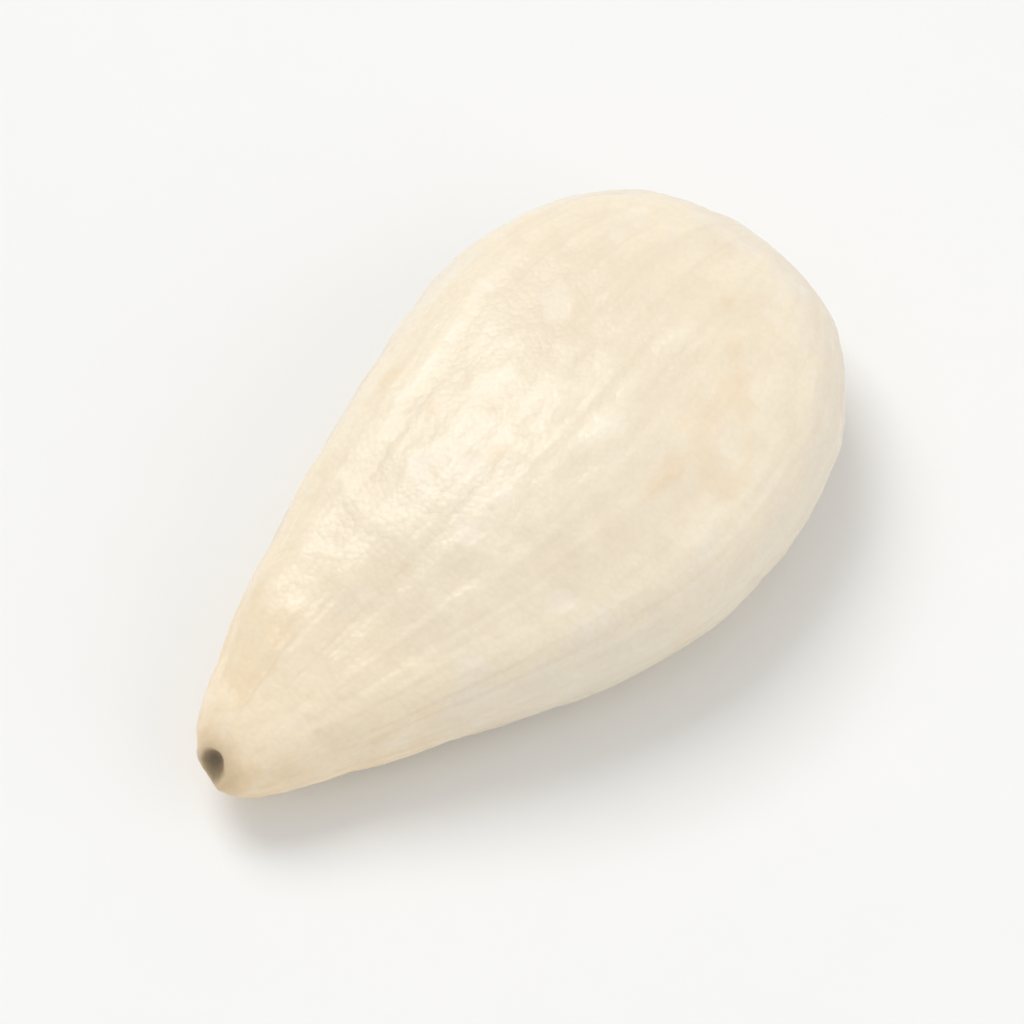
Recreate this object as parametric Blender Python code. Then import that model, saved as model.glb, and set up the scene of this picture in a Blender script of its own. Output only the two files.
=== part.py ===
"""A hulled white sesame seed, lying on its flatter face.

It is one solid: a flattened teardrop with a broad round head and a short blunt beak. The beak points to -X
and leans a little to +Y, so the +Y flank is hollow near it and the -Y flank is full. Each face is nearly flat
in the middle, with a soft raised margin round it. The upper face carries the faint seam of the seed, which
runs from the beak towards the head, and the beak ends in the small pit where the seed grew on its stalk. The
seed rests on a small flat spot under its weight, at z = 0, with the origin below the middle of its box.
"""

import math

import bmesh
import bpy
from mathutils import Vector, noise

MM = 0.001

# The seed's overall size
LENGTH = 3.40 * MM
WIDTH = 1.94 * MM
THICKNESS = 0.96 * MM

# The outline, seen from above. Shares of the length run from the beak, 0, to the head, 1
WIDEST_AT = 0.67
HEAD_POWER = 2.25
BEAK_BLUNTNESS = 0.60
LEAN = 0.066 * LENGTH
LEAN_ENDS_AT = 0.56
LEAN_BACK = 0.012 * LENGTH
LEAN_BACK_ENDS_AT = 0.80

# The side view, and the section across the seed
THICKEST_AT = 0.58
HEAD_SIDE_POWER = 2.3
BEAK_SIDE_BLUNTNESS = 0.66
LOWER_SHARE = 0.43
BEAK_DROP = 0.13 * THICKNESS
BEAK_DROP_ENDS_AT = 0.50
SECTION_POWER = 2.40
TWIST = math.radians(5.0)

# The neck behind the beak's tip, and the pit in the end of the beak, which faces a little up and to +Y
NECK_AT = 0.13
NECK_REACH = 0.045
NECK_DEPTH = 0.035
PIT_TOWARDS = Vector((-1.0, 0.10, 0.14)).normalized()
PIT_RADIUS = 0.12 * MM
PIT_DEPTH = 0.045 * MM

# The raised margin and the hollow inside it, placed by their share of the way from the middle to the rim
MARGIN_AT = 0.80
MARGIN_REACH = 0.11
MARGIN_HEIGHT = 0.020 * MM
MARGIN_LEFT_AT_HEAD = 0.35
MARGIN_FADES_FROM = 0.45
MARGIN_FADES_TO = 0.85
HOLLOW_AT = 0.50
HOLLOW_REACH = 0.22
HOLLOW_DEPTH = 0.014 * MM

# Where a face begins: how far the surface is turned from the rim, and how far it is from the beak
FACE_STARTS = 0.15
FACE_IS_FULL = 0.55
FACE_STARTS_AT = 0.08
FACE_IS_FULL_AT = 0.22

# The faint seam along the upper face
SEAM_STARTS_AT = 0.12
SEAM_ENDS_AT = 0.60
SEAM_FADE = 0.16
SEAM_HALF_WIDTH = 0.075 * MM
SEAM_DEPTH = 0.008 * MM

# The unevenness of a natural surface: broad dents, and smaller ones over them
DENT_SIZE = 0.95 * MM
DENT_DEPTH = 0.024 * MM
SMALL_DENT_SIZE = 0.38 * MM
SMALL_DENT_DEPTH = 0.010 * MM

# The flat spot that the seed rests on, as the depth of material that is worn flat
FLAT_DEPTH = 0.024 * MM

CELLS_PER_SIDE = 30
LEAST_RADIUS = 1e-9
SEED_COLOUR = (0.88, 0.76, 0.58, 1.0)
SEED_ROUGHNESS = 0.42


def smooth_step(start, end, value):
    """A smooth rise from 0 at start to 1 at end."""
    share = min(1.0, max(0.0, (value - start) / (end - start)))
    return share * share * (3.0 - 2.0 * share)


def hump(centre, reach, value):
    """A bell of height 1 at centre, which fades over the reach."""
    return math.exp(-(((value - centre) / reach) ** 2))


def teardrop(t, peak, head_power, bluntness):
    """The half-size of a teardrop at share t of its length, as a share of its largest.

    The head is part of a superellipse. Towards the beak the curve is a mix of an ellipse, which makes the end
    blunt, and of a cosine wave, which draws the flanks in.
    """
    if t >= peak:
        along = (t - peak) / (1.0 - peak)
        return max(0.0, 1.0 - along**head_power) ** (1.0 / head_power)
    along = (peak - t) / peak
    ellipse = math.sqrt(max(0.0, 1.0 - along * along))
    wave = 0.5 + 0.5 * math.cos(math.pi * along)
    return bluntness * ellipse + (1.0 - bluntness) * wave


def section_radius(angle):
    """How far the cross-section reaches at an angle from its wide axis, for half-sizes of 1."""
    across = abs(math.cos(angle)) ** SECTION_POWER
    upwards = abs(math.sin(angle)) ** SECTION_POWER
    return (across + upwards) ** (-1.0 / SECTION_POWER)


def middle_line(t):
    """The middle of the section at share t of the length, as its place across and its height."""
    lean = -LEAN * smooth_step(0.0, LEAN_ENDS_AT, t)
    lean_back = LEAN_BACK * smooth_step(LEAN_ENDS_AT, LEAN_BACK_ENDS_AT, t)
    drop = -BEAK_DROP * (1.0 - smooth_step(0.0, BEAK_DROP_ENDS_AT, t))
    return lean + lean_back, drop


def body_point(direction):
    """The seed's plain form: the point for a direction from the middle of a unit sphere."""
    t = 0.5 * (1.0 + direction.x)
    angle = math.atan2(direction.z, direction.y)
    neck = 1.0 - NECK_DEPTH * hump(NECK_AT, NECK_REACH, t)
    outline = neck * teardrop(t, WIDEST_AT, HEAD_POWER, BEAK_BLUNTNESS)
    profile = neck * teardrop(t, THICKEST_AT, HEAD_SIDE_POWER, BEAK_SIDE_BLUNTNESS)
    side_share = LOWER_SHARE if direction.z < 0.0 else 1.0 - LOWER_SHARE
    radius = section_radius(angle)
    across = 0.5 * WIDTH * outline * radius * math.cos(angle)
    upwards = THICKNESS * side_share * profile * radius * math.sin(angle)
    twist = TWIST * (1.0 - smooth_step(0.0, WIDEST_AT, t))
    middle_across, middle_height = middle_line(t)
    return Vector((
        LENGTH * (t - 0.5),
        middle_across + across * math.cos(twist) - upwards * math.sin(twist),
        middle_height + across * math.sin(twist) + upwards * math.cos(twist),
    ))


def relief(direction, point):
    """How far the surface rises above the plain form there: margin, hollow, seam and natural unevenness."""
    t = 0.5 * (1.0 + direction.x)
    radial = max(math.hypot(direction.y, direction.z), LEAST_RADIUS)
    faceward = abs(direction.z) / radial
    across = abs(direction.y) / radial
    rim_share = math.hypot(direction.x, across * math.sqrt(max(0.0, 1.0 - direction.x**2)))
    face = smooth_step(FACE_STARTS, FACE_IS_FULL, faceward) * smooth_step(FACE_STARTS_AT, FACE_IS_FULL_AT, t)
    margin = 1.0 - (1.0 - MARGIN_LEFT_AT_HEAD) * smooth_step(MARGIN_FADES_FROM, MARGIN_FADES_TO, t)
    rise = face * margin * MARGIN_HEIGHT * hump(MARGIN_AT, MARGIN_REACH, rim_share)
    rise -= face * HOLLOW_DEPTH * hump(HOLLOW_AT, HOLLOW_REACH, rim_share)
    if direction.z > 0.0:
        begins = smooth_step(SEAM_STARTS_AT, SEAM_STARTS_AT + SEAM_FADE, t)
        fades = 1.0 - smooth_step(SEAM_ENDS_AT - SEAM_FADE, SEAM_ENDS_AT, t)
        rise -= SEAM_DEPTH * begins * fades * hump(middle_line(t)[0], SEAM_HALF_WIDTH, point.y)
    rise += DENT_DEPTH * noise.noise(point / DENT_SIZE)
    rise += SMALL_DENT_DEPTH * noise.noise(point / SMALL_DENT_SIZE)
    return rise


def seed_point(direction):
    """The seed's surface, with its relief and the pit in the end of the beak."""
    point = body_point(direction)
    point += relief(direction, point) * direction
    from_pit = (point - body_point(PIT_TOWARDS)).length
    point.x += PIT_DEPTH * hump(0.0, PIT_RADIUS, from_pit)
    return point


def add_ball(mesh_data):
    """A ball of even four-sided faces: a cube, divided and then swelled onto a unit sphere."""
    bmesh.ops.create_cube(mesh_data, size=2.0)
    edges = mesh_data.edges[:]
    bmesh.ops.subdivide_edges(mesh_data, edges=edges, cuts=CELLS_PER_SIDE - 1, use_grid_fill=True)
    for vertex in mesh_data.verts:
        spread = [math.tan(0.25 * math.pi * value) for value in vertex.co]
        vertex.co = Vector(spread).normalized()


def settle(mesh_data):
    """Wears the lowest part flat, then sets the seed to its exact size over the origin, on z = 0."""
    floor = min(vertex.co.z for vertex in mesh_data.verts) + FLAT_DEPTH
    for vertex in mesh_data.verts:
        vertex.co.z = max(vertex.co.z, floor)
    size = (LENGTH, WIDTH, THICKNESS)
    low = [min(vertex.co[axis] for vertex in mesh_data.verts) for axis in range(3)]
    high = [max(vertex.co[axis] for vertex in mesh_data.verts) for axis in range(3)]
    for vertex in mesh_data.verts:
        for axis in range(3):
            share = (vertex.co[axis] - low[axis]) / (high[axis] - low[axis])
            stand = 0.0 if axis == 2 else 0.5
            vertex.co[axis] = (share - stand) * size[axis]


def seed_material():
    """Warm ivory with a soft, slightly waxy shine."""
    material = bpy.data.materials.new("seed_ivory")
    material.use_nodes = True
    shader = material.node_tree.nodes["Principled BSDF"]
    shader.inputs["Base Color"].default_value = SEED_COLOUR
    shader.inputs["Roughness"].default_value = SEED_ROUGHNESS
    shader.inputs["Metallic"].default_value = 0.0
    return material


def add_seed(collection):
    """The whole seed, as one closed solid."""
    mesh_data = bmesh.new()
    add_ball(mesh_data)
    for vertex in mesh_data.verts:
        vertex.co = seed_point(vertex.co)
    settle(mesh_data)
    bmesh.ops.recalc_face_normals(mesh_data, faces=mesh_data.faces[:])
    mesh = bpy.data.meshes.new("seed")
    mesh_data.to_mesh(mesh)
    mesh_data.free()
    mesh.shade_smooth()
    mesh.materials.append(seed_material())
    seed = bpy.data.objects.new("seed", mesh)
    collection.objects.link(seed)
    return seed


def main():
    for old in list(bpy.data.objects):
        bpy.data.objects.remove(old, do_unlink=True)
    collection = bpy.data.collections.new("sesame_seed")
    bpy.context.scene.collection.children.link(collection)
    add_seed(collection)


main()
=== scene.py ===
"""The looks of a hulled white sesame seed: its fine surface, its finish, and the studio it is seen in.

The seed lies on its flatter face. Its beak points to -X and its round head to +X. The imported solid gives
its box and its main form. The kernel built here follows that form, and adds the relief that a close look
shows.
"""

import logging
import math
from dataclasses import dataclass, field
from enum import Enum

import bmesh
import bpy
from mathutils import Euler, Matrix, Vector, noise


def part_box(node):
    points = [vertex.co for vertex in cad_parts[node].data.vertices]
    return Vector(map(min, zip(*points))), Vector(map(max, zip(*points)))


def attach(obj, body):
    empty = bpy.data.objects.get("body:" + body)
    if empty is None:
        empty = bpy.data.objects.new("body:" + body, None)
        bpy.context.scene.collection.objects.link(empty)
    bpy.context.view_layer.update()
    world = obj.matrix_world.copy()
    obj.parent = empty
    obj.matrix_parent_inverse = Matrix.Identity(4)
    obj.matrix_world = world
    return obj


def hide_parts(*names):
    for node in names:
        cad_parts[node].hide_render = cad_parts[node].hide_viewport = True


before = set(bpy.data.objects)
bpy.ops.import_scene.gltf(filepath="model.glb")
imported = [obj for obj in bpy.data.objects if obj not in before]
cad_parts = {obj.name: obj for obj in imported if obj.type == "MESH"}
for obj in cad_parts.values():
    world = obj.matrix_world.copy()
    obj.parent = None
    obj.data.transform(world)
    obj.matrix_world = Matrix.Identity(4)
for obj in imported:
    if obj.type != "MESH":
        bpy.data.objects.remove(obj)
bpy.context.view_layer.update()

MM = 0.001
BODY = "root"
NODE = "seed"
LEAST_RADIUS = 1e-9

# Noise is read on turned axes, so that its cells don't line up with the seed
NOISE_TURN = Euler((0.62, 0.41, 0.93))

log = logging.getLogger("sesame_seed")

Colour = tuple[float, float, float, float]


class Side(Enum):
    """The two faces of the seed."""

    UPPER = "upper"
    UNDER = "under"


class Trace(Enum):
    """What the kernel's mesh carries for its finish, one attribute each."""

    LENGTH = "length_share"
    RIM = "rim_share"
    # The relief's height, which the finish turns into painted shade in the hollows
    RELIEF_SHADE = "relief_shade_share"
    SKIN = "skin_left"
    SCUFF = "scuffed"
    PIT_AWAY = "millimetres_from_pit"
    GRAIN = "grain"


def paint(red: int, green: int, blue: int) -> Colour:
    """A colour as a shader takes it, from the 0 to 255 numbers of a picture.

    Args:
        red: The red number.
        green: The green number.
        blue: The blue number.

    Returns:
        The linear colour, with an alpha of 1.
    """
    linear = []
    for number in (red, green, blue):
        share = number / 255.0
        linear.append(share / 12.92 if share <= 0.04045 else ((share + 0.055) / 1.055) ** 2.4)
    return (linear[0], linear[1], linear[2], 1.0)


def smooth_step(start: float, end: float, value: float) -> float:
    """A smooth rise from 0 to 1.

    Args:
        start: Where the rise begins.
        end: Where it ends.
        value: The place that is asked for.

    Returns:
        The height there.
    """
    share = min(1.0, max(0.0, (value - start) / (end - start)))
    return share * share * (3.0 - 2.0 * share)


def hump(centre: float, reach: float, value: float) -> float:
    """A bell of height 1.

    Args:
        centre: Where the bell peaks.
        reach: How far it takes to fade.
        value: The place that is asked for.

    Returns:
        The height there.
    """
    return math.exp(-(((value - centre) / reach) ** 2))


@dataclass(frozen=True)
class Teardrop:
    """The curve of the seed's half-size along its length, as a share of the largest."""

    peak: float
    head_power: float
    bluntness: float

    def share(self, along: float) -> float:
        """The half-size at one place.

        Args:
            along: The share of the length from the beak, 0, to the head, 1.

        Returns:
            The half-size there, from 0 to 1.
        """
        if along >= self.peak:
            past = (along - self.peak) / (1.0 - self.peak)
            return max(0.0, 1.0 - past**self.head_power) ** (1.0 / self.head_power)
        before = (self.peak - along) / self.peak
        ellipse = math.sqrt(max(0.0, 1.0 - before * before))
        wave = 0.5 + 0.5 * math.cos(math.pi * before)
        return self.bluntness * ellipse + (1.0 - self.bluntness) * wave


@dataclass(frozen=True)
class Spot:
    """One place on the seed, in the terms that its relief and its finish use."""

    point: Vector
    outward: Vector
    along: float
    rim: float
    faceward: float
    grain: Vector
    side: Side


@dataclass
class KernelForm:
    """The seed's main form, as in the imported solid: a flattened teardrop with its margin and its seam."""

    size: Vector
    outline: Teardrop = Teardrop(peak=0.67, head_power=2.25, bluntness=0.60)
    profile: Teardrop = Teardrop(peak=0.58, head_power=2.3, bluntness=0.66)
    lower_share: float = 0.43
    section_power: float = 2.40
    twist: float = math.radians(5.0)
    lean: float = 0.066
    lean_ends_at: float = 0.56
    lean_back: float = 0.012
    lean_back_ends_at: float = 0.80
    beak_drop: float = 0.13
    beak_drop_ends_at: float = 0.50
    neck_at: float = 0.13
    neck_reach: float = 0.045
    neck_depth: float = 0.035
    pit_towards: Vector = Vector((-1.0, 0.10, 0.14)).normalized()
    pit_radius: float = 0.12 * MM
    pit_depth: float = 0.045 * MM
    margin_at: float = 0.80
    margin_reach: float = 0.11
    margin_height: float = 0.020 * MM
    margin_left_at_head: float = 0.35
    margin_fades: tuple[float, float] = (0.45, 0.85)
    hollow_at: float = 0.50
    hollow_reach: float = 0.22
    hollow_depth: float = 0.014 * MM
    face_by_turn: tuple[float, float] = (0.15, 0.55)
    face_by_length: tuple[float, float] = (0.08, 0.22)
    seam_starts_at: float = 0.12
    seam_ends_at: float = 0.60
    seam_fade: float = 0.16
    seam_half_width: float = 0.075 * MM
    seam_depth: float = 0.008 * MM
    dent_size: float = 0.95 * MM
    dent_depth: float = 0.024 * MM
    small_dent_size: float = 0.38 * MM
    small_dent_depth: float = 0.010 * MM
    pit_centre: Vector = field(init=False)

    def __post_init__(self) -> None:
        """Works out where the pit in the beak's end is."""
        self.pit_centre = self.plain_point(self.pit_towards)

    def middle_line(self, along: float) -> tuple[float, float]:
        """The middle of the section at one place.

        Args:
            along: The share of the length from the beak, 0, to the head, 1.

        Returns:
            Its place across the seed, and its height.
        """
        lean = -self.lean * smooth_step(0.0, self.lean_ends_at, along)
        back = self.lean_back * smooth_step(self.lean_ends_at, self.lean_back_ends_at, along)
        drop = -self.beak_drop * (1.0 - smooth_step(0.0, self.beak_drop_ends_at, along))
        return (lean + back) * self.size.x, drop * self.size.z

    def section_radius(self, angle: float) -> float:
        """How far the section reaches, for half-sizes of 1.

        Args:
            angle: The angle from the section's wide axis.

        Returns:
            The reach at that angle.
        """
        across = abs(math.cos(angle)) ** self.section_power
        upwards = abs(math.sin(angle)) ** self.section_power
        return (across + upwards) ** (-1.0 / self.section_power)

    def plain_point(self, outward: Vector) -> Vector:
        """The seed's surface without its relief.

        Args:
            outward: A direction from the middle of a unit ball.

        Returns:
            The point that the direction leads to.
        """
        along = 0.5 * (1.0 + outward.x)
        angle = math.atan2(outward.z, outward.y)
        neck = 1.0 - self.neck_depth * hump(self.neck_at, self.neck_reach, along)
        side_share = self.lower_share if outward.z < 0.0 else 1.0 - self.lower_share
        half_width = 0.5 * self.size.y * neck * self.outline.share(along)
        half_thickness = side_share * self.size.z * neck * self.profile.share(along)
        radius = self.section_radius(angle)
        across = half_width * radius * math.cos(angle)
        upwards = half_thickness * radius * math.sin(angle)
        twist = self.twist * (1.0 - smooth_step(0.0, self.outline.peak, along))
        middle_across, middle_height = self.middle_line(along)
        return Vector((
            self.size.x * (along - 0.5),
            middle_across + across * math.cos(twist) - upwards * math.sin(twist),
            middle_height + across * math.sin(twist) + upwards * math.cos(twist),
        ))

    def spot(self, outward: Vector) -> Spot:
        """Everything that the relief and the finish need to know about one place.

        Args:
            outward: A direction from the middle of a unit ball.

        Returns:
            The place, before its relief.
        """
        along = 0.5 * (1.0 + outward.x)
        radial = max(math.hypot(outward.y, outward.z), LEAST_RADIUS)
        across = abs(outward.y) / radial
        return Spot(
            point=self.plain_point(outward),
            outward=outward,
            along=along,
            rim=math.hypot(outward.x, across * math.sqrt(max(0.0, 1.0 - outward.x**2))),
            faceward=abs(outward.z) / radial,
            grain=Vector((along, outward.y / radial, outward.z / radial)),
            side=Side.UPPER if outward.z > 0.0 else Side.UNDER,
        )

    def relief(self, spot: Spot) -> float:
        """How far the surface rises at one place: margin, hollow, seam and dents.

        Args:
            spot: The place.

        Returns:
            The rise in metres.
        """
        face = smooth_step(*self.face_by_turn, spot.faceward)
        face *= smooth_step(*self.face_by_length, spot.along)
        margin = 1.0 - (1.0 - self.margin_left_at_head) * smooth_step(*self.margin_fades, spot.along)
        rise = face * margin * self.margin_height * hump(self.margin_at, self.margin_reach, spot.rim)
        rise -= face * self.hollow_depth * hump(self.hollow_at, self.hollow_reach, spot.rim)
        if spot.side is Side.UPPER:
            begins = smooth_step(self.seam_starts_at, self.seam_starts_at + self.seam_fade, spot.along)
            fades = 1.0 - smooth_step(self.seam_ends_at - self.seam_fade, self.seam_ends_at, spot.along)
            off_seam = hump(self.middle_line(spot.along)[0], self.seam_half_width, spot.point.y)
            rise -= self.seam_depth * begins * fades * off_seam
        rise += self.dent_depth * noise.noise(spot.point / self.dent_size)
        rise += self.small_dent_depth * noise.noise(spot.point / self.small_dent_size)
        return rise


@dataclass(frozen=True)
class Swell:
    """Soft unevenness of one size."""

    size: float
    depth: float

    def rise(self, spot: Spot) -> float:
        """The rise at one place, in metres."""
        return self.depth * noise.noise(spot.point / self.size)


@dataclass(frozen=True)
class Fibres:
    """Uneven lines that follow the seed's length, or cross it where they are denser along than around.

    Their height is in metres where they are relief, and a plain share where they only place something.
    """

    along: float
    around: float
    height: float
    begins: tuple[float, float]
    fades: tuple[float, float]
    finer: float = 0.5
    finer_scale: float = 2.1
    offset: Vector = Vector((0.37, 0.23, 0.41))

    def rise(self, spot: Spot) -> float:
        """How far the lines stand up at one place.

        Args:
            spot: The place.

        Returns:
            The rise, in the terms of the height.
        """
        stretched = Vector((
            spot.grain.x * self.along,
            spot.grain.y * self.around,
            spot.grain.z * self.around,
        ))
        line = noise.noise(stretched + self.offset)
        line += self.finer * noise.noise(stretched * self.finer_scale)
        strength = smooth_step(*self.begins, spot.along) * (1.0 - smooth_step(*self.fades, spot.along))
        return self.height * strength * line


@dataclass(frozen=True)
class RimLine:
    """The thin raised line that runs round each face, just inside the rim, higher here and lower there."""

    place: float = 0.885
    reach: float = 0.028
    height: float = 0.0155 * MM
    lowest: float = 0.35
    swing: float = 0.35
    begins_by_turn: tuple[float, float] = (0.10, 0.35)
    begins_by_length: tuple[float, float] = (0.10, 0.30)
    wander: float = 0.020
    wander_size: float = 0.52 * MM
    offset: Vector = Vector((5.3, 9.1, 0.7))

    def rise(self, spot: Spot) -> float:
        """How far the line stands up at one place.

        Args:
            spot: The place.

        Returns:
            The rise in metres.
        """
        drift = noise.noise(spot.point / self.wander_size + self.offset)
        uneven = noise.noise(spot.point / self.wander_size - self.offset)
        strength = self.lowest + (1.0 - self.lowest) * smooth_step(-self.swing, self.swing, uneven)
        strength *= smooth_step(*self.begins_by_turn, spot.faceward)
        strength *= smooth_step(*self.begins_by_length, spot.along)
        return self.height * strength * hump(self.place + self.wander * drift, self.reach, spot.rim)


@dataclass(frozen=True)
class Nicks:
    """Small shallow dents with soft lips, one in some of the cells of an uneven net."""

    spacing: float = 0.40 * MM
    radius: float = 0.050 * MM
    radius_spread: float = 0.5
    depth: float = 0.0060 * MM
    lip: float = 0.30
    lip_place: float = 1.6
    lip_reach: float = 0.6
    draw_scale: float = 5.7
    least_draw: float = 0.125

    def rise(self, spot: Spot) -> float:
        """How far the surface is pressed in, or raised, at one place.

        Args:
            spot: The place.

        Returns:
            The rise in metres, which is below 0 inside a dent.
        """
        distances, centres = noise.voronoi(spot.point / self.spacing)
        draw = noise.noise(centres[0] * self.draw_scale)
        if draw < self.least_draw:
            return 0.0
        radius = self.radius * (1.0 + self.radius_spread * draw)
        away = distances[0] * self.spacing
        lip = self.lip * hump(self.lip_place * radius, self.lip_reach * radius, away)
        return self.depth * (lip - hump(0.0, radius, away))


@dataclass(frozen=True)
class Patches:
    """Ragged patches: where a noise of one size, with a finer one on its edges, passes a threshold."""

    size: float
    edge_size: float
    edge_share: float
    threshold: float
    softness: float
    depth: float
    offset: Vector

    def share(self, spot: Spot, bias: float = 0.0) -> float:
        """How far one place is inside a patch.

        Args:
            spot: The place.
            bias: What makes a patch likelier there.

        Returns:
            0 outside, 1 well inside.
        """
        place = spot.point.copy()
        place.rotate(NOISE_TURN)
        broad = noise.noise(place / self.size + self.offset)
        edge = self.edge_share * noise.noise(place / self.edge_size + self.offset)
        return smooth_step(self.threshold, self.threshold + self.softness, broad + edge + bias)


@dataclass(frozen=True)
class Hilum:
    """The scar in the end of the beak, where the seed grew on its stalk: a small pit in a soft collar."""

    radius: float = 0.052 * MM
    edge: float = 0.026 * MM
    depth: float = 0.020 * MM
    collar_radius: float = 0.096 * MM
    collar_reach: float = 0.030 * MM
    collar_height: float = 0.009 * MM
    raggedness: float = 0.14
    ragged_size: float = 0.075 * MM

    def evened(self, spot: Spot, away: float) -> float:
        """The distance from the pit's centre, as if the pit were round.

        Args:
            spot: The place.
            away: Its true distance from the pit's centre.

        Returns:
            The distance in metres.
        """
        return away * (1.0 + self.raggedness * noise.noise(spot.point / self.ragged_size))

    def sink(self, evened: float) -> float:
        """How deep the pit is at one evened distance from its centre, in metres."""
        return self.depth * (1.0 - smooth_step(self.radius - self.edge, self.radius + self.edge, evened))

    def collar(self, evened: float) -> float:
        """How far the collar stands up at one evened distance from the pit's centre, in metres."""
        return self.collar_height * hump(self.collar_radius, self.collar_reach, evened)


@dataclass(frozen=True)
class FineRelief:
    """What a close look adds to the seed's surface."""

    dimples: Swell = Swell(size=0.17 * MM, depth=0.0098 * MM)
    pores: Swell = Swell(size=0.062 * MM, depth=0.0032 * MM)
    streaks: Fibres = Fibres(
        along=2.4,
        around=8.5,
        height=0.0066 * MM,
        begins=(0.03, 0.16),
        fades=(0.93, 0.995),
    )
    folds: Fibres = Fibres(
        along=34.0,
        around=2.6,
        height=0.0042 * MM,
        begins=(0.02, 0.07),
        fades=(0.10, 0.30),
    )
    rim_line: RimLine = RimLine()
    nicks: Nicks = Nicks()
    hilum: Hilum = Hilum()
    skin_left: Patches = Patches(
        size=0.46 * MM,
        edge_size=0.11 * MM,
        edge_share=0.34,
        threshold=0.50,
        softness=0.24,
        depth=0.0034 * MM,
        offset=Vector((3.1, 7.7, 1.9)),
    )
    scuffs: Patches = Patches(
        size=0.20 * MM,
        edge_size=0.062 * MM,
        edge_share=0.25,
        threshold=0.48,
        softness=0.20,
        depth=0.0042 * MM,
        offset=Vector((11.3, 2.3, 5.9)),
    )
    tongues: Fibres = Fibres(
        along=1.6,
        around=6.5,
        height=0.34,
        begins=(0.0, 0.05),
        fades=(0.45, 0.80),
    )
    skin_by_beak: float = 0.62
    skin_ends: tuple[float, float] = (0.02, 0.26)
    skin_on_margin: float = 0.08
    margin_skin_reach: float = 0.14

    def skin(self, spot: Spot) -> float:
        """How much of the thin seed skin is left at one place, most of it by the beak and on the margin.

        Args:
            spot: The place.

        Returns:
            0 where the seed is bare, 1 where the skin is whole.
        """
        beak = self.skin_by_beak * (1.0 - smooth_step(*self.skin_ends, spot.along))
        margin = self.skin_on_margin * hump(1.0, self.margin_skin_reach, spot.rim)
        return self.skin_left.share(spot, beak + margin + self.tongues.rise(spot))

    def rise(self, spot: Spot, skin: float, scuff: float) -> float:
        """How far the fine surface stands above the main form at one place.

        Args:
            spot: The place.
            skin: What is left of the skin there.
            scuff: How far it is rubbed down there.

        Returns:
            The rise in metres.
        """
        layers = (self.dimples, self.pores, self.streaks, self.folds, self.rim_line, self.nicks)
        rise = sum(layer.rise(spot) for layer in layers)
        return rise + self.skin_left.depth * skin - self.scuffs.depth * scuff


@dataclass
class Board:
    """A node tree that is being wired."""

    tree: bpy.types.NodeTree

    def place(self, kind: str, **settings: object) -> bpy.types.Node:
        """Adds one node.

        Args:
            kind: The node's type.
            settings: The node's own properties.

        Returns:
            The node.
        """
        node = self.tree.nodes.new(kind)
        for name, value in settings.items():
            setattr(node, name, value)
        return node

    def feed(self, socket: bpy.types.NodeSocket, value: object) -> None:
        """Joins an output to an input, or sets the input to a constant.

        Args:
            socket: The input.
            value: An output of another node, a number, a vector or a colour.
        """
        if isinstance(value, bpy.types.NodeSocket):
            self.tree.links.new(value, socket)
        else:
            socket.default_value = value

    def sum(self, operation: str, first: object, second: object) -> bpy.types.NodeSocket:
        """Works out one sum.

        Args:
            operation: The Math node's operation.
            first: Its first value.
            second: Its second value.

        Returns:
            The result.
        """
        node = self.place("ShaderNodeMath", operation=operation)
        self.feed(node.inputs[0], first)
        self.feed(node.inputs[1], second)
        return node.outputs[0]

    def ease(
        self, value: object, start: float, end: float, low: float = 0.0, high: float = 1.0
    ) -> bpy.types.NodeSocket:
        """Eases a value from one range to another.

        Args:
            value: What is eased.
            start: Where the change begins.
            end: Where it ends.
            low: The result at and before the start.
            high: The result at and past the end.

        Returns:
            The eased value.
        """
        node = self.place("ShaderNodeMapRange", interpolation_type="SMOOTHSTEP")
        self.feed(node.inputs["Value"], value)
        node.inputs["From Min"].default_value = start
        node.inputs["From Max"].default_value = end
        node.inputs["To Min"].default_value = low
        node.inputs["To Max"].default_value = high
        return node.outputs["Result"]

    def blend(self, share: object, under: object, over: object) -> bpy.types.NodeSocket:
        """Lays one colour over another.

        Args:
            share: How much of the upper colour shows.
            under: The lower colour.
            over: The upper colour.

        Returns:
            The blended colour.
        """
        node = self.place("ShaderNodeMix", data_type="RGBA")
        self.feed(node.inputs["Factor"], share)
        self.feed(node.inputs[6], under)
        self.feed(node.inputs[7], over)
        return node.outputs[2]

    def trace(self, trace: Trace, vector: bool = False) -> bpy.types.NodeSocket:
        """Reads what the mesh carries.

        Args:
            trace: Which of the attributes.
            vector: Whether it is a vector.

        Returns:
            Its value at the place that is shaded.
        """
        node = self.place("ShaderNodeAttribute", attribute_type="GEOMETRY", attribute_name=trace.value)
        return node.outputs["Vector" if vector else "Fac"]

    def millimetres(self) -> bpy.types.NodeSocket:
        """Reads the place on the piece, on the turned axes of the noise.

        Returns:
            The place in millimetres.
        """
        node = self.place("ShaderNodeMapping")
        self.feed(node.inputs["Vector"], self.place("ShaderNodeTexCoord").outputs["Object"])
        node.inputs["Rotation"].default_value = NOISE_TURN
        node.inputs["Scale"].default_value = (1.0 / MM, 1.0 / MM, 1.0 / MM)
        return node.outputs["Vector"]


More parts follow.
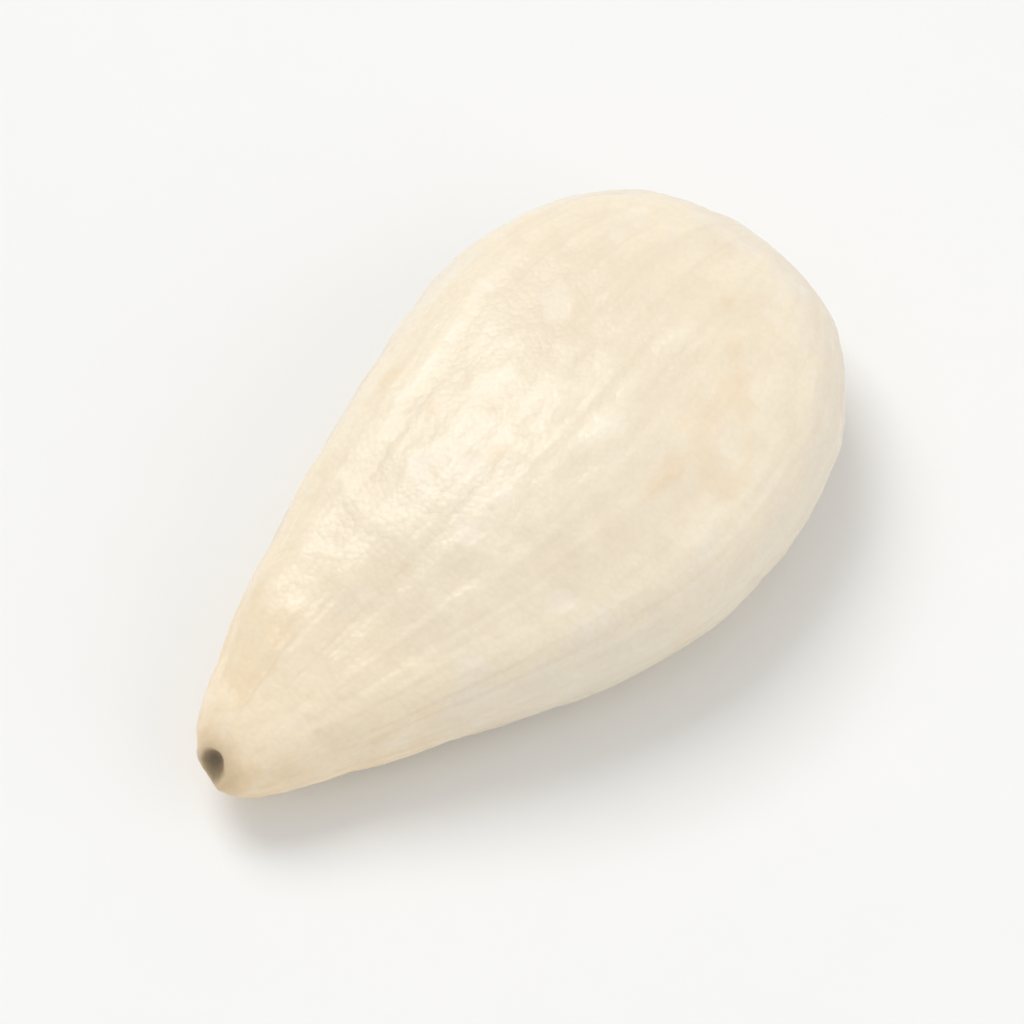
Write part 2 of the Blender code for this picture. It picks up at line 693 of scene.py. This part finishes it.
@dataclass(frozen=True)
class UnevenTone:
    """A shader group: broad and fine cloudiness, as one value round 0.5."""

    name: str = "uneven_tone"
    broad_detail: float = 2.0
    fine_detail: float = 4.0
    distortion: float = 0.7

    def group(self) -> bpy.types.NodeTree:
        """Builds the group the first time, and finds it after that.

        Returns:
            The group, with the inputs Place, Broad Scale, Fine Scale and Contrast, and the output Tone.
        """
        found = bpy.data.node_groups.get(self.name)
        if found is not None:
            return found
        tree = bpy.data.node_groups.new(self.name, "ShaderNodeTree")
        tree.interface.new_socket("Place", in_out="INPUT", socket_type="NodeSocketVector")
        for name in ("Broad Scale", "Fine Scale", "Contrast"):
            tree.interface.new_socket(name, in_out="INPUT", socket_type="NodeSocketFloat")
        tree.interface.new_socket("Tone", in_out="OUTPUT", socket_type="NodeSocketFloat")
        board = Board(tree)
        given = board.place("NodeGroupInput")
        broad = self.cloud(board, given, "Broad Scale", self.broad_detail)
        fine = self.cloud(board, given, "Fine Scale", self.fine_detail)
        mean = board.sum("MULTIPLY", board.sum("ADD", broad, fine), 0.5)
        spread = board.sum("MULTIPLY", board.sum("SUBTRACT", mean, 0.5), given.outputs["Contrast"])
        result = board.place("NodeGroupOutput")
        board.feed(result.inputs["Tone"], board.sum("ADD", spread, 0.5))
        return tree

    def cloud(
        self,
        board: Board,
        given: bpy.types.Node,
        scale: str,
        detail: float,
    ) -> bpy.types.NodeSocket:
        """One size of cloudiness.

        Args:
            board: The group's node tree.
            given: The group's inputs.
            scale: The name of the input that sets its scale.
            detail: How many finer sizes lie over it.

        Returns:
            Its value, round 0.5.
        """
        node = board.place("ShaderNodeTexNoise")
        board.feed(node.inputs["Vector"], given.outputs["Place"])
        board.feed(node.inputs["Scale"], given.outputs[scale])
        node.inputs["Detail"].default_value = detail
        node.inputs["Distortion"].default_value = self.distortion
        return node.outputs["Fac"]

    def tone(
        self,
        board: Board,
        place: object,
        broad: float,
        fine: float,
        contrast: float,
    ) -> bpy.types.NodeSocket:
        """Places the group in a material.

        Args:
            board: The material's node tree.
            place: The coordinates that it reads.
            broad: The broad scale, per millimetre.
            fine: The fine scale, per millimetre.
            contrast: How far it strays from 0.5.

        Returns:
            The tone.
        """
        node = board.place("ShaderNodeGroup", node_tree=self.group())
        board.feed(node.inputs["Place"], place)
        node.inputs["Broad Scale"].default_value = broad
        node.inputs["Fine Scale"].default_value = fine
        node.inputs["Contrast"].default_value = contrast
        return node.outputs["Tone"]


@dataclass(frozen=True)
class KernelFinish:
    """The seed's finish: ivory and slightly waxy, warmer towards the thin margin and the beak. Its colour
    also carries painted shade in the hollows of the relief and in the grooves between the surface cells,
    and a greyer rim that is partly painted edge shade.
    """

    name: str = "sesame_kernel"
    middle: Colour = paint(248, 236, 212)
    band: Colour = paint(247, 234, 209)
    # Greyer and darker than the faces: partly painted shade where the surface turns away round the edge,
    # partly the margin's own tone
    rim: Colour = paint(238, 227, 208)
    beak: Colour = paint(249, 231, 200)
    beak_tip: Colour = paint(239, 213, 173)
    skin: Colour = paint(234, 206, 165)
    scuff: Colour = paint(250, 243, 231)
    scar: Colour = paint(196, 170, 130)
    pit: Colour = paint(146, 126, 96)
    pit_heart: Colour = paint(96, 82, 62)
    speck: Colour = paint(190, 148, 100)
    # A darker tone: for the random cloudiness and the fibres, and also for the painted shade in the hollows
    # and between the cells
    shade: Colour = paint(229, 211, 184)
    light: Colour = paint(253, 248, 238)
    tone_scales: tuple[float, float] = (1.5, 7.0)
    tone_contrast: float = 1.7
    rim_stray: float = 0.35
    beak_stray: float = 0.175
    band_between: tuple[float, float] = (0.35, 0.78)
    rim_between: tuple[float, float] = (0.80, 1.0)
    beak_between: tuple[float, float] = (0.42, 0.06)
    beak_shows: float = 0.9
    tip_between: tuple[float, float] = (0.10, 0.0)
    tip_shows: float = 0.8
    shade_between: tuple[float, float] = (0.52, 0.15)
    light_between: tuple[float, float] = (0.52, 0.90)
    # Painted shade: the colour darkens where the relief sinks, in the hollows
    hollow_shade_between: tuple[float, float] = (0.55, 0.0)
    # Painted shade: the colour darkens in the grooves between the domed surface cells
    cell_edge_shade_between: tuple[float, float] = (0.35, 0.80)
    fibre_stretch: tuple[float, float, float] = (2.2, 11.0, 11.0)
    fibre_detail: float = 3.0
    fibre_between: tuple[float, float] = (0.50, 0.72)
    speck_scale: float = 5.5
    speck_between: tuple[float, float] = (0.16, 0.05)
    speck_picks: tuple[float, float] = (0.80, 0.95)
    speck_shows: float = 0.18
    scar_ring: tuple[float, float] = (0.200, 0.070)
    pit_ring: tuple[float, float] = (0.090, 0.048)
    heart_ring: tuple[float, float] = (0.064, 0.010)
    fray_scale: float = 16.0
    fray_detail: float = 4.0
    fray_reach: float = 0.045
    scar_shows: float = 0.62
    heart_shows: float = 0.85
    skin_shows: float = 0.32
    scuff_shows: float = 0.25
    shade_shows: float = 0.30
    light_shows: float = 0.30
    hollow_shade_shows: float = 0.36
    fibre_shows: float = 0.26
    cell_edge_shade_shows: float = 0.13
    roughness: float = 0.335
    roughness_spread: float = 0.16
    sheen_scales: tuple[float, float] = (4.0, 22.0)
    sheen_contrast: float = 1.0
    shine: float = 0.5
    skin_roughness: float = 0.06
    scuff_roughness: float = 0.12
    pit_roughness: float = 0.30
    glow_weight: float = 0.6
    glow_radius: tuple[float, float, float] = (1.0, 0.84, 0.66)
    glow_scale: float = 0.075 * MM
    cell_size: float = 0.027
    cell_depth: float = 0.0019 * MM
    fine_size: float = 0.054
    fine_detail: float = 3.0

    def material(self) -> bpy.types.Material:
        """Builds the finish.

        Returns:
            The material, which reads the attributes that the kernel's mesh carries.
        """
        material = bpy.data.materials.new(self.name)
        material.use_nodes = True
        board = Board(material.node_tree)
        shader = material.node_tree.nodes["Principled BSDF"]
        place = board.millimetres()
        cells = board.place("ShaderNodeTexVoronoi", feature="F1")
        board.feed(cells.inputs["Vector"], place)
        cells.inputs["Scale"].default_value = 1.0 / self.cell_size
        # The cells' distance shapes the bump, and also paints shade into the grooves between the cells
        away = cells.outputs["Distance"]
        tone = UnevenTone().tone(board, place, *self.tone_scales, self.tone_contrast)
        board.feed(shader.inputs["Base Color"], self.marks(board, place, self.colour(board, tone, away)))
        board.feed(shader.inputs["Roughness"], self.sheen(board, place))
        board.feed(shader.inputs["Normal"], self.grain(board, place, away))
        shader.subsurface_method = "BURLEY"
        shader.inputs["Subsurface Weight"].default_value = self.glow_weight
        shader.inputs["Subsurface Radius"].default_value = self.glow_radius
        shader.inputs["Subsurface Scale"].default_value = self.glow_scale
        shader.inputs["Specular IOR Level"].default_value = self.shine
        return material

    def colour(self, board: Board, tone: object, away: object) -> bpy.types.NodeSocket:
        """Wires the seed's colour, from the middle of the faces out to the rim and the beak, with painted
        shade in the hollows and between the cells, and a rim that is partly painted edge shade.

        Args:
            board: The material's node tree.
            tone: The uneven tone, round 0.5.
            away: The distance from the middle of the nearest surface cell.

        Returns:
            The colour.
        """
        uneven = board.sum("SUBTRACT", tone, 0.5)
        rim = board.sum("ADD", board.trace(Trace.RIM), board.sum("MULTIPLY", uneven, self.rim_stray))
        along = board.sum("ADD", board.trace(Trace.LENGTH), board.sum("MULTIPLY", uneven, self.beak_stray))
        # The relief share, for the painted shade in the hollows
        relief = board.trace(Trace.RELIEF_SHADE)
        colour = board.blend(board.ease(rim, *self.band_between), self.middle, self.band)
        layers = (
            # a greyer rim: partly painted edge shade
            (rim, self.rim_between, 1.0, self.rim),
            (along, self.beak_between, self.beak_shows, self.beak),
            (along, self.tip_between, self.tip_shows, self.beak_tip),
            (tone, self.shade_between, self.shade_shows, self.shade),
            (tone, self.light_between, self.light_shows, self.light),
            # painted shade in the hollows of the relief
            (relief, self.hollow_shade_between, self.hollow_shade_shows, self.shade),
            (self.fibres(board), self.fibre_between, self.fibre_shows, self.shade),
            # painted shade in the grooves between the surface cells
            (away, self.cell_edge_shade_between, self.cell_edge_shade_shows, self.shade),
        )
        for value, between, shows, paint_over in layers:
            colour = board.blend(board.ease(value, *between, 0.0, shows), colour, paint_over)
        return colour

    def fibres(self, board: Board) -> bpy.types.NodeSocket:
        """Wires the faint fibres that run from the beak to the head.

        Args:
            board: The material's node tree.

        Returns:
            Their unevenness, round 0.5.
        """
        stretch = board.place("ShaderNodeMapping")
        board.feed(stretch.inputs["Vector"], board.trace(Trace.GRAIN, vector=True))
        stretch.inputs["Scale"].default_value = self.fibre_stretch
        lines = board.place("ShaderNodeTexNoise")
        board.feed(lines.inputs["Vector"], stretch.outputs["Vector"])
        lines.inputs["Scale"].default_value = 1.0
        lines.inputs["Detail"].default_value = self.fibre_detail
        return lines.outputs["Fac"]

    def marks(self, board: Board, place: object, colour: object) -> bpy.types.NodeSocket:
        """Wires what lies on the colour: skin, scuffs, specks, and the scar with its pit and frayed edge.

        Args:
            board: The material's node tree.
            place: The coordinates in millimetres.
            colour: The seed's own colour.

        Returns:
            The marked colour.
        """
        skin = board.sum("MULTIPLY", board.trace(Trace.SKIN), self.skin_shows)
        scuff = board.sum("MULTIPLY", board.trace(Trace.SCUFF), self.scuff_shows)
        colour = board.blend(skin, colour, self.skin)
        colour = board.blend(scuff, colour, self.scuff)
        colour = board.blend(self.specks(board, place), colour, self.speck)
        fray = board.place("ShaderNodeTexNoise")
        board.feed(fray.inputs["Vector"], place)
        fray.inputs["Scale"].default_value = self.fray_scale
        fray.inputs["Detail"].default_value = self.fray_detail
        stray = board.sum("MULTIPLY", board.sum("SUBTRACT", fray.outputs["Fac"], 0.5), self.fray_reach)
        away = board.sum("ADD", board.trace(Trace.PIT_AWAY), stray)
        colour = board.blend(board.ease(away, *self.scar_ring, 0.0, self.scar_shows), colour, self.scar)
        colour = board.blend(board.ease(away, *self.pit_ring), colour, self.pit)
        heart = board.ease(away, *self.heart_ring, 0.0, self.heart_shows)
        return board.blend(heart, colour, self.pit_heart)

    def specks(self, board: Board, place: object) -> bpy.types.NodeSocket:
        """Wires the small tan specks that lie here and there.

        Args:
            board: The material's node tree.
            place: The coordinates in millimetres.

        Returns:
            The mask of the specks.
        """
        dots = board.place("ShaderNodeTexVoronoi", feature="F1")
        board.feed(dots.inputs["Vector"], place)
        dots.inputs["Scale"].default_value = self.speck_scale
        inside = board.ease(dots.outputs["Distance"], *self.speck_between)
        chosen = board.place("ShaderNodeSeparateColor")
        board.feed(chosen.inputs["Color"], dots.outputs["Color"])
        picked = board.ease(chosen.outputs["Red"], *self.speck_picks, 0.0, self.speck_shows)
        return board.sum("MULTIPLY", inside, picked)

    def sheen(self, board: Board, place: object) -> bpy.types.NodeSocket:
        """Wires the roughness: smoother on the domes, duller on the skin, the scuffs and the pit.

        Args:
            board: The material's node tree.
            place: The coordinates in millimetres.

        Returns:
            The roughness.
        """
        tone = UnevenTone().tone(board, place, *self.sheen_scales, self.sheen_contrast)
        spread = board.sum("MULTIPLY", board.sum("SUBTRACT", tone, 0.5), self.roughness_spread)
        value = board.sum("ADD", spread, self.roughness)
        for trace, more in ((Trace.SKIN, self.skin_roughness), (Trace.SCUFF, self.scuff_roughness)):
            value = board.sum("ADD", value, board.sum("MULTIPLY", board.trace(trace), more))
        pit = board.ease(board.trace(Trace.PIT_AWAY), *self.pit_ring, 0.0, self.pit_roughness)
        return board.sum("ADD", value, pit)

    def grain(self, board: Board, place: object, away: object) -> bpy.types.NodeSocket:
        """Wires the bump: the domed cells of the surface, and a finer unevenness over them.

        Args:
            board: The material's node tree.
            place: The coordinates in millimetres.
            away: The distance from the middle of the nearest cell.

        Returns:
            The normal.
        """
        fine = board.place("ShaderNodeTexNoise")
        board.feed(fine.inputs["Vector"], place)
        fine.inputs["Scale"].default_value = 1.0 / self.fine_size
        fine.inputs["Detail"].default_value = self.fine_detail
        bump = board.place("ShaderNodeBump")
        board.feed(bump.inputs["Height"], board.sum("SUBTRACT", fine.outputs["Fac"], away))
        bump.inputs["Strength"].default_value = 1.0
        bump.inputs["Distance"].default_value = self.cell_depth
        return bump.outputs["Normal"]


@dataclass
class Kernel:
    """The seed itself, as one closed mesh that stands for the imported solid."""

    low: Vector
    high: Vector
    fine: FineRelief = field(default_factory=FineRelief)
    finish: KernelFinish = field(default_factory=KernelFinish)
    cells_per_side: int = 120
    flat_depth: float = 0.024 * MM
    shade_relief_scale: float = 0.030 * MM
    fine_shade_weight: float = 2.0

    def build(self) -> bpy.types.Object:
        """Builds and dresses the kernel.

        Returns:
            The kernel, in its place on the floor.
        """
        form = KernelForm(size=self.high - self.low)
        mesh_data = self.ball()
        traces = {trace: [] for trace in Trace}
        for vertex in mesh_data.verts:
            vertex.co = self.surface(form, form.spot(vertex.co), traces)
        self.settle(mesh_data)
        bmesh.ops.recalc_face_normals(mesh_data, faces=mesh_data.faces[:])
        mesh = bpy.data.meshes.new("kernel")
        mesh_data.to_mesh(mesh)
        mesh_data.free()
        mesh.shade_smooth()
        self.carry(mesh, traces)
        mesh.materials.append(self.finish.material())
        kernel = bpy.data.objects.new("kernel", mesh)
        bpy.context.scene.collection.objects.link(kernel)
        return kernel

    def ball(self) -> bmesh.types.BMesh:
        """A ball of even four-sided faces: a cube, divided and then swelled onto a unit sphere.

        Returns:
            The ball.
        """
        mesh_data = bmesh.new()
        bmesh.ops.create_cube(mesh_data, size=2.0)
        cuts = self.cells_per_side - 1
        bmesh.ops.subdivide_edges(mesh_data, edges=mesh_data.edges[:], cuts=cuts, use_grid_fill=True)
        for vertex in mesh_data.verts:
            vertex.co = Vector([math.tan(0.25 * math.pi * value) for value in vertex.co]).normalized()
        return mesh_data

    def surface(self, form: KernelForm, spot: Spot, traces: dict[Trace, list]) -> Vector:
        """The seed's surface at one place, with all its relief. Its traces are added to the lists.

        Args:
            form: The seed's main form.
            spot: The place.
            traces: What the mesh will carry, one list for each attribute.

        Returns:
            The point.
        """
        skin = self.fine.skin(spot)
        scuff = self.fine.scuffs.share(spot) * (1.0 - skin)
        fine_rise = self.fine.rise(spot, skin, scuff)
        main_rise = form.relief(spot)
        point = spot.point + (main_rise + fine_rise) * spot.outward
        away = (point - form.pit_centre).length
        hilum = self.fine.hilum
        evened = hilum.evened(spot, away)
        point += hilum.collar(evened) * spot.outward
        point.x += form.pit_depth * hump(0.0, form.pit_radius, away) + hilum.sink(evened)
        traces[Trace.LENGTH].append(spot.along)
        traces[Trace.RIM].append(spot.rim)
        # The relief share drives the painted shade in the hollows; the fine relief counts double in it
        shade_rise = main_rise + self.fine_shade_weight * fine_rise
        traces[Trace.RELIEF_SHADE].append(0.5 + 0.5 * shade_rise / self.shade_relief_scale)
        traces[Trace.SKIN].append(skin)
        traces[Trace.SCUFF].append(scuff)
        traces[Trace.PIT_AWAY].append(evened / MM)
        traces[Trace.GRAIN].extend(spot.grain)
        return point

    def settle(self, mesh_data: bmesh.types.BMesh) -> None:
        """Wears the lowest part flat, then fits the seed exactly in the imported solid's box.

        Args:
            mesh_data: The seed's mesh.
        """
        floor = min(vertex.co.z for vertex in mesh_data.verts) + self.flat_depth
        for vertex in mesh_data.verts:
            vertex.co.z = max(vertex.co.z, floor)
        least = [min(vertex.co[axis] for vertex in mesh_data.verts) for axis in range(3)]
        most = [max(vertex.co[axis] for vertex in mesh_data.verts) for axis in range(3)]
        for vertex in mesh_data.verts:
            for axis in range(3):
                share = (vertex.co[axis] - least[axis]) / (most[axis] - least[axis])
                vertex.co[axis] = self.low[axis] + share * (self.high[axis] - self.low[axis])

    @staticmethod
    def carry(mesh: bpy.types.Mesh, traces: dict[Trace, list]) -> None:
        """Writes the traces on the mesh as its attributes.

        Args:
            mesh: The seed's mesh.
            traces: The values, in the order of the vertices.
        """
        for trace, values in traces.items():
            is_vector = trace is Trace.GRAIN
            attribute = mesh.attributes.new(trace.value, "FLOAT_VECTOR" if is_vector else "FLOAT", "POINT")
            attribute.data.foreach_set("vector" if is_vector else "value", values)


@dataclass(frozen=True)
class FloorFinish:
    """Pale matt board."""

    name: str = "pale_board"
    colour: Colour = paint(246, 246, 245)
    shade: Colour = paint(243, 243, 242)
    roughness: float = 0.75
    shine: float = 0.25
    tone_scales: tuple[float, float] = (0.35, 3.0)
    tone_contrast: float = 1.0

    def material(self) -> bpy.types.Material:
        """Builds the finish.

        Returns:
            The material.
        """
        material = bpy.data.materials.new(self.name)
        material.use_nodes = True
        board = Board(material.node_tree)
        shader = material.node_tree.nodes["Principled BSDF"]
        tone = UnevenTone().tone(board, board.millimetres(), *self.tone_scales, self.tone_contrast)
        board.feed(shader.inputs["Base Color"], board.blend(tone, self.colour, self.shade))
        shader.inputs["Roughness"].default_value = self.roughness
        shader.inputs["Specular IOR Level"].default_value = self.shine
        return material


@dataclass
class Softbox:
    """One large square lamp, aimed at the seed."""

    name: str
    azimuth: float
    elevation: float
    brightness: float
    width: float
    colour: tuple[float, float, float] = (1.0, 1.0, 1.0)
    distance: float = 0.30

    def build(self, target: Vector) -> bpy.types.Object:
        """Places the lamp.

        Args:
            target: The point that it is aimed at.

        Returns:
            The lamp.
        """
        lamp = bpy.data.lights.new(self.name, "AREA")
        lamp.shape = "SQUARE"
        lamp.size = self.width
        lamp.energy = self.brightness * math.pi**2 * self.distance**2
        lamp.color = self.colour
        holder = bpy.data.objects.new(self.name, lamp)
        back = direction(self.azimuth, self.elevation)
        holder.location = target + back * self.distance
        holder.rotation_euler = (-back).to_track_quat("-Z", "Y").to_euler()
        bpy.context.scene.collection.objects.link(holder)
        return holder


def direction(azimuth: float, elevation: float) -> Vector:
    """The way from the seed to a camera or lamp. Azimuth 0 is on the -Y side, and 90 on the +X side.

    Args:
        azimuth: The angle round the seed, in degrees.
        elevation: The angle above the floor, in degrees.

    Returns:
        The unit vector.
    """
    turn = math.radians(azimuth)
    rise = math.radians(elevation)
    return Vector((math.sin(turn) * math.cos(rise), -math.cos(turn) * math.cos(rise), math.sin(rise)))


@dataclass
class Studio:
    """The pale floor, the soft lamps and the even light of a white tent round them."""

    target: Vector
    floor_width: float = 0.60
    tent_strength: float = 0.59
    tent_colour: Colour = (1.0, 1.0, 1.0, 1.0)
    seen_strength: float = 0.90
    floor_finish: FloorFinish = field(default_factory=FloorFinish)

    def build(self) -> None:
        """Builds the floor, the lamps and the tent."""
        self.floor()
        for lamp in (
            Softbox("key", azimuth=165.0, elevation=56.0, brightness=0.475, width=0.17),
            Softbox("fill", azimuth=20.0, elevation=30.0, brightness=0.23, width=0.30),
        ):
            lamp.build(self.target)
        self.tent()

    def floor(self) -> bpy.types.Object:
        """Builds the floor.

        Returns:
            The floor, which isn't part of the seed.
        """
        mesh_data = bmesh.new()
        bmesh.ops.create_grid(mesh_data, x_segments=1, y_segments=1, size=0.5 * self.floor_width)
        mesh = bpy.data.meshes.new("floor")
        mesh_data.to_mesh(mesh)
        mesh_data.free()
        mesh.materials.append(self.floor_finish.material())
        floor = bpy.data.objects.new("floor", mesh)
        bpy.context.scene.collection.objects.link(floor)
        return floor

    def tent(self) -> None:
        """Lights the scene from all round, and shows the floor's own pale tone behind the floor."""
        world = bpy.data.worlds.new("tent")
        world.use_nodes = True
        board = Board(world.node_tree)
        lit = world.node_tree.nodes["Background"]
        lit.inputs["Color"].default_value = self.tent_colour
        lit.inputs["Strength"].default_value = self.tent_strength
        seen = board.place("ShaderNodeBackground")
        seen.inputs["Color"].default_value = self.tent_colour
        seen.inputs["Strength"].default_value = self.seen_strength
        either = board.place("ShaderNodeMixShader")
        board.feed(either.inputs[0], board.place("ShaderNodeLightPath").outputs["Is Camera Ray"])
        board.feed(either.inputs[1], lit.outputs[0])
        board.feed(either.inputs[2], seen.outputs[0])
        board.feed(world.node_tree.nodes["World Output"].inputs["Surface"], either.outputs[0])
        bpy.context.scene.world = world


@dataclass
class Viewpoint:
    """The camera, at the angle from which the picture looks down on the seed."""

    target: Vector
    azimuth: float = -50.0
    elevation: float = 62.0
    lens: float = 300.0
    sensor_width: float = 36.0
    field_width: float = 4.3 * MM
    clip_near: float = 0.1
    clip_far: float = 100.0

    def build(self) -> bpy.types.Object:
        """Places the camera and makes it the scene's own.

        Returns:
            The camera.
        """
        camera = bpy.data.cameras.new("viewpoint")
        camera.lens = self.lens
        camera.sensor_width = self.sensor_width
        distance = self.field_width * self.lens / self.sensor_width
        camera.clip_start = self.clip_near * distance
        camera.clip_end = self.clip_far * distance
        holder = bpy.data.objects.new("viewpoint", camera)
        back = direction(self.azimuth, self.elevation)
        holder.location = self.target + back * distance
        holder.rotation_euler = (-back).to_track_quat("-Z", "Y").to_euler()
        bpy.context.scene.collection.objects.link(holder)
        bpy.context.scene.camera = holder
        return holder


def main() -> None:
    """Builds the seed, the studio and the camera."""
    logging.basicConfig(level=logging.INFO, format="%(name)s: %(message)s")
    low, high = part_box(NODE)
    middle = 0.5 * (low + high)
    kernel = Kernel(low=low, high=high).build()
    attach(kernel, BODY)
    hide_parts(NODE)
    log.info("kernel: %d faces", len(kernel.data.polygons))
    Studio(target=middle).build()
    log.info("studio: floor, lamps and tent")
    Viewpoint(target=middle).build()
    bpy.context.scene.view_settings.view_transform = "Standard"


if __name__ == "__main__":
    main()
